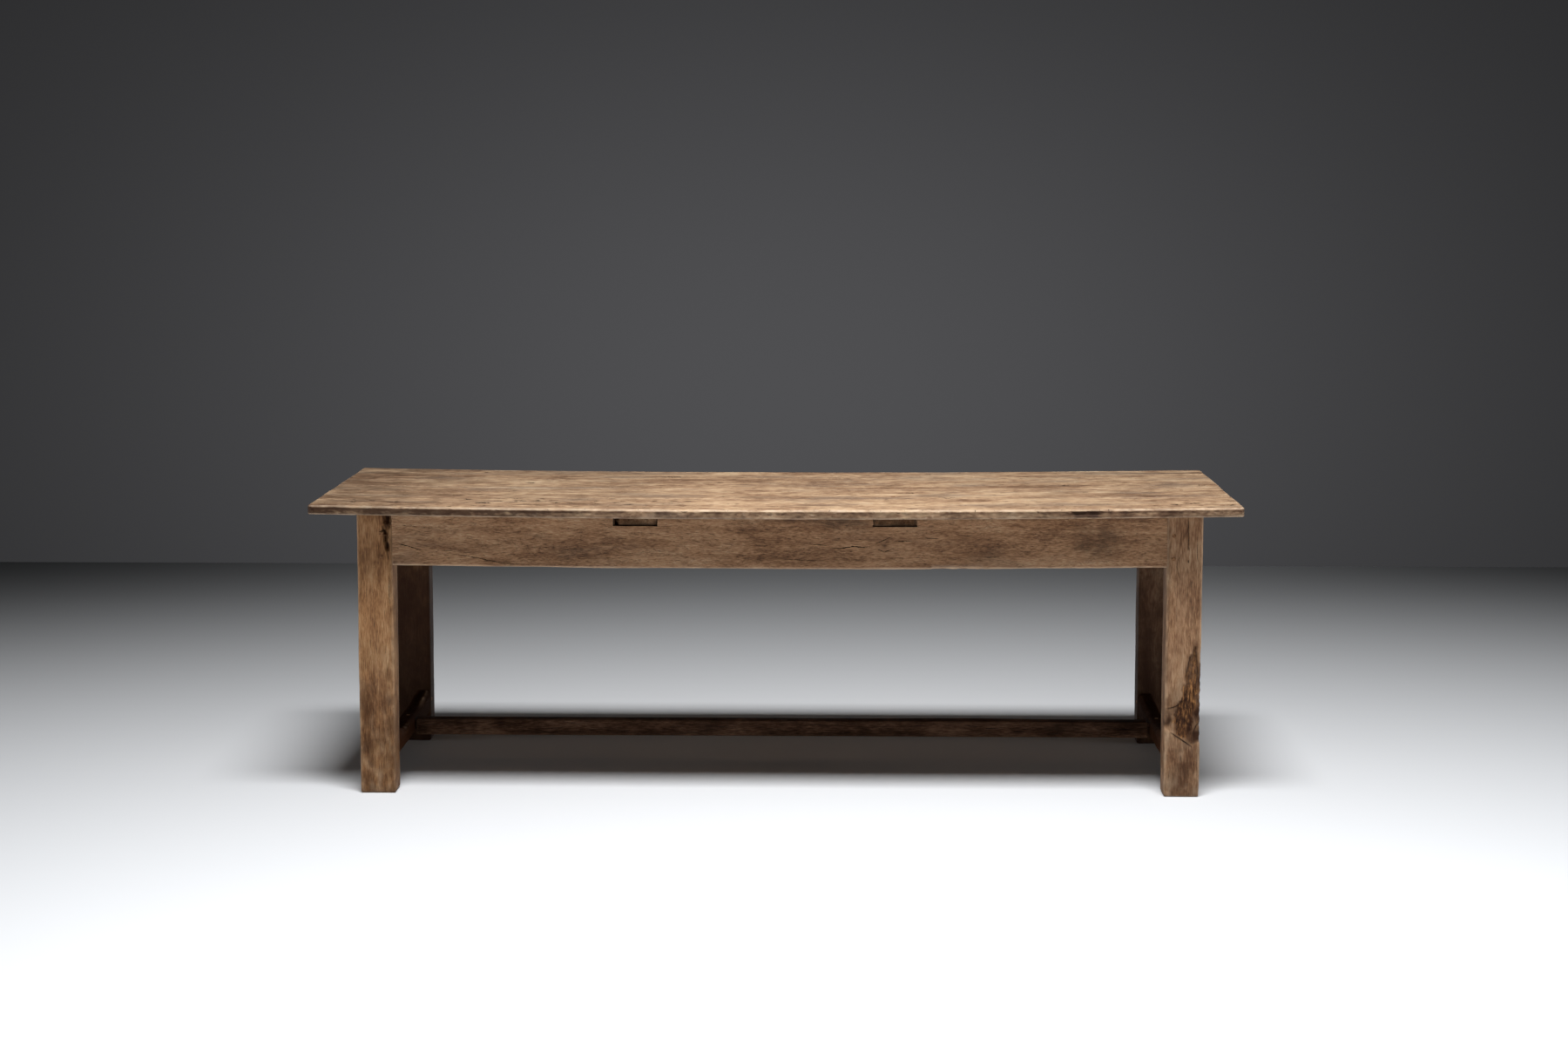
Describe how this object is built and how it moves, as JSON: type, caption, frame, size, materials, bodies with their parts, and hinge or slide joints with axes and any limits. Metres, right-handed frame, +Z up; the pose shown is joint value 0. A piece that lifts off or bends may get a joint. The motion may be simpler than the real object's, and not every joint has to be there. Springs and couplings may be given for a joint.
{
  "type": "refectory table",
  "caption": "Long old oak refectory table: sagging plank top, square legs, deep plain aprons notched for cross bearers, and low stretchers in an H.",
  "frame": {"origin": "on the floor, under the middle of the top", "axes": "+X along the length to the right as seen from the front, +Y to the back, +Z up"},
  "size_m": [2.336, 0.74, 0.7499],
  "materials": {
    "oak_top": "dry worn oak, waxed long ago",
    "oak_apron": "aged oak, satin",
    "oak_leg": "aged oak, satin, darker at the foot",
    "oak_stretcher": "very dark foot-worn oak",
    "oak_bearer": "rough aged oak",
    "oak_peg": "riven oak, end grain"
  },
  "bodies": {
    "root": {"top_board_front": "oak_top", "top_board_second": "oak_top", "top_board_third": "oak_top", "top_board_back": "oak_top", "seam_dowels_front": "oak_peg", "seam_dowels_middle": "oak_peg", "seam_dowels_back": "oak_peg", "top_pegs_front": "oak_peg", "top_pegs_back": "oak_peg", "top_pegs_left_end": "oak_peg", "top_pegs_right_end": "oak_peg", "top_pegs_left_bearer": "oak_peg", "top_pegs_right_bearer": "oak_peg", "apron_front": "oak_apron", "apron_pegs_front": "oak_peg", "leg_front_left": "oak_leg", "leg_front_right": "oak_leg", "apron_back": "oak_apron", "apron_pegs_back": "oak_peg", "leg_back_left": "oak_leg", "leg_back_right": "oak_leg", "apron_end_left": "oak_apron", "apron_pegs_end_left": "oak_peg", "stretcher_end_left": "oak_stretcher", "stretcher_pegs_end_left": "oak_peg", "bearer_left": "oak_bearer", "apron_end_right": "oak_apron", "apron_pegs_end_right": "oak_peg", "stretcher_end_right": "oak_stretcher", "stretcher_pegs_end_right": "oak_peg", "bearer_right": "oak_bearer", "stretcher_centre": "oak_stretcher", "stretcher_pegs_centre": "oak_peg"}
  },
  "joints": []
}
